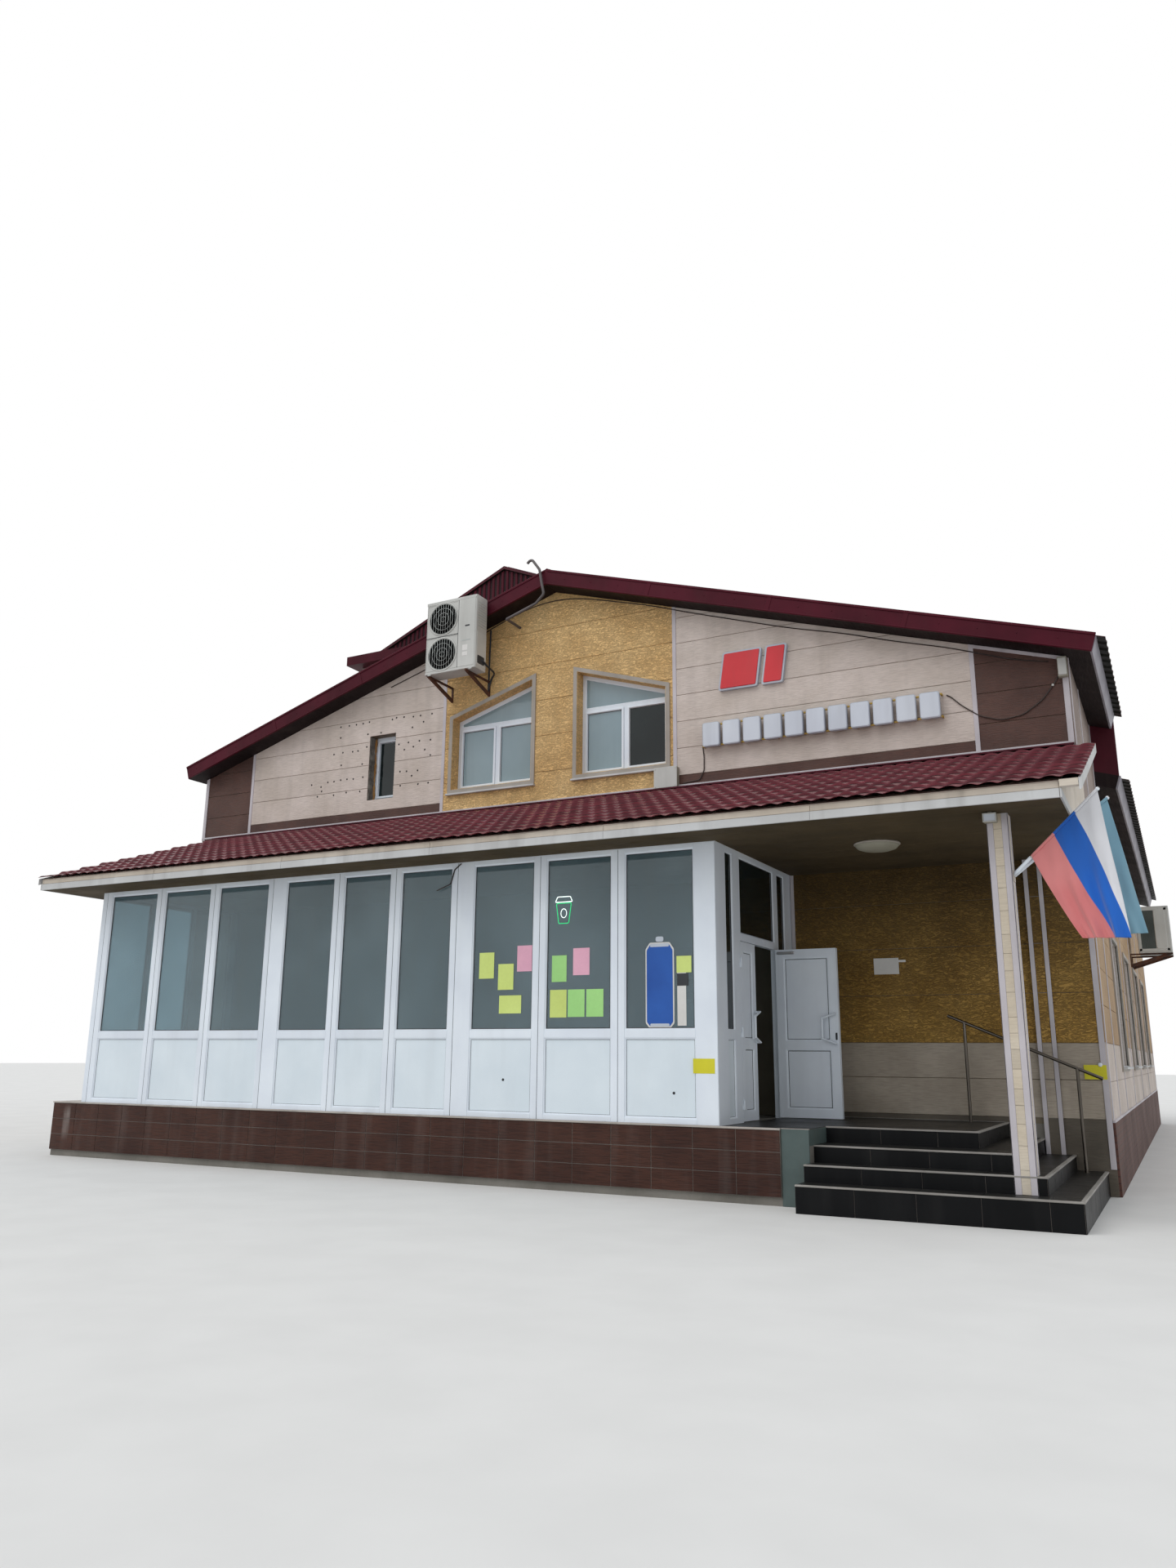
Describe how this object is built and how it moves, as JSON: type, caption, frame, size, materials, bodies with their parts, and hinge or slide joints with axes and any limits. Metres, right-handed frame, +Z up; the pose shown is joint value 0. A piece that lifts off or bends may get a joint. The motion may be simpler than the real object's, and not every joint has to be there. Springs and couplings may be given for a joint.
{
  "type": "shopping center building",
  "caption": "Gabled shopping building with clad walls, a glazed porch, a tiled canopy, steps, double entrance doors, sheet roofs and a raised rear block.",
  "frame": {"origin": "on the ground at the middle of the main front wall's outer face, in the foundation's underside", "axes": "+Z up, +Y into the building from its front, +X to the right as one faces the front"},
  "size_m": [16.14, 21.9, 11.8121],
  "materials": {
    "concrete": "matt, weathered",
    "clad_wall": "embossed boards in beige, ochre and brown fields, matt",
    "plain_wall": "profiled siding over masonry, matt",
    "roof_sheet": "dark burgundy, semi-gloss, dusty",
    "roof_timber": "dark stained boarding",
    "eave_trim": "white, matt, streaked",
    "plinth_tile": "brown tiles, satin, chalky joints",
    "step_tile": "near black, satin, dusty treads",
    "white_frame": "white, satin",
    "white_panel": "white, satin, flat",
    "door_leaf": "white, satin",
    "clear_glass": "clear, slightly dusty",
    "canopy_tile": "burgundy wave tiles, satin",
    "canopy_board": "pale fascia, dark soffit, matt",
    "column_render": "off-white panels with dirty joints",
    "rail_steel": "brushed",
    "hinge": "white",
    "ac_case": "off-white, satin",
    "bracket": "dark, rusted at the edges",
    "sign_rail": "yellow",
    "sign_white": "white, satin",
    "sign_red": "red with a white edge",
    "pole": "pale, painted",
    "flag_cloth": "plain stripes, worn",
    "flag_cloth_rear": "plain stripes, worn",
    "fitting": "off-white",
    "conduit": "grey"
  },
  "bodies": {
    "building": {"foundation": "concrete", "ground_floor": "concrete", "upper_floor": "concrete", "front_wall_piers": "clad_wall", "inner_door_lintel": "clad_wall", "front_gable_wall": "clad_wall", "right_wall": "clad_wall", "left_wall": "plain_wall", "rear_wall_left": "plain_wall", "rear_wall_right": "plain_wall", "raised_front_wall": "plain_wall", "raised_right_wall": "plain_wall", "front_roof_deck_left": "roof_timber", "front_roof_deck_right": "roof_timber", "rear_roof_deck": "roof_timber", "roof_step_wall": "roof_sheet", "front_roof_sheet_left": "roof_sheet", "front_roof_sheet_right": "roof_sheet", "rear_roof_sheet": "roof_sheet", "barge_boards": "roof_sheet", "eave_fascias": "eave_trim", "ridge_cap": "roof_sheet", "raised_cornice": "roof_sheet", "raised_roof": "roof_sheet", "pediments": "roof_sheet", "plinth_tiles": "plinth_tile", "step_1": "step_tile", "step_2": "step_tile", "step_3": "step_tile", "landing": "step_tile", "porch_frame": "white_frame", "porch_glass": "clear_glass", "porch_panels": "white_panel", "entrance_frames": "white_frame", "entrance_transom": "white_frame", "door_hinges": "hinge", "canopy_roof": "canopy_tile", "canopy_box": "canopy_board", "columns": "column_render", "handrail": "rail_steel", "window_casings": "eave_trim", "front_window_frames": "white_frame", "side_window_frames": "white_frame", "window_glass": "clear_glass", "ac_units": "ac_case", "ac_brackets": "bracket", "sign_rails": "sign_rail", "sign_plates": "sign_white", "sign_panels": "sign_red", "flagpoles": "pole", "flag_front": "flag_cloth", "flag_rear": "flag_cloth_rear", "wall_fittings": "fitting", "service_conduit": "conduit"},
    "active_leaf": {"door_leaf_active": "door_leaf"},
    "passive_leaf": {"door_leaf_passive": "door_leaf"}
  },
  "joints": [
    {"name": "active_leaf_hinge", "type": "hinge", "parent": "building", "child": "active_leaf", "pos_m": [3.796, -0.712, 0.8], "axis": [0, 0, 1], "range_deg": [-90, 0]},
    {"name": "passive_leaf_hinge", "type": "hinge", "parent": "building", "child": "passive_leaf", "pos_m": [3.796, -2.058, 0.8], "axis": [0, 0, 1], "range_deg": [-90, 0]}
  ]
}
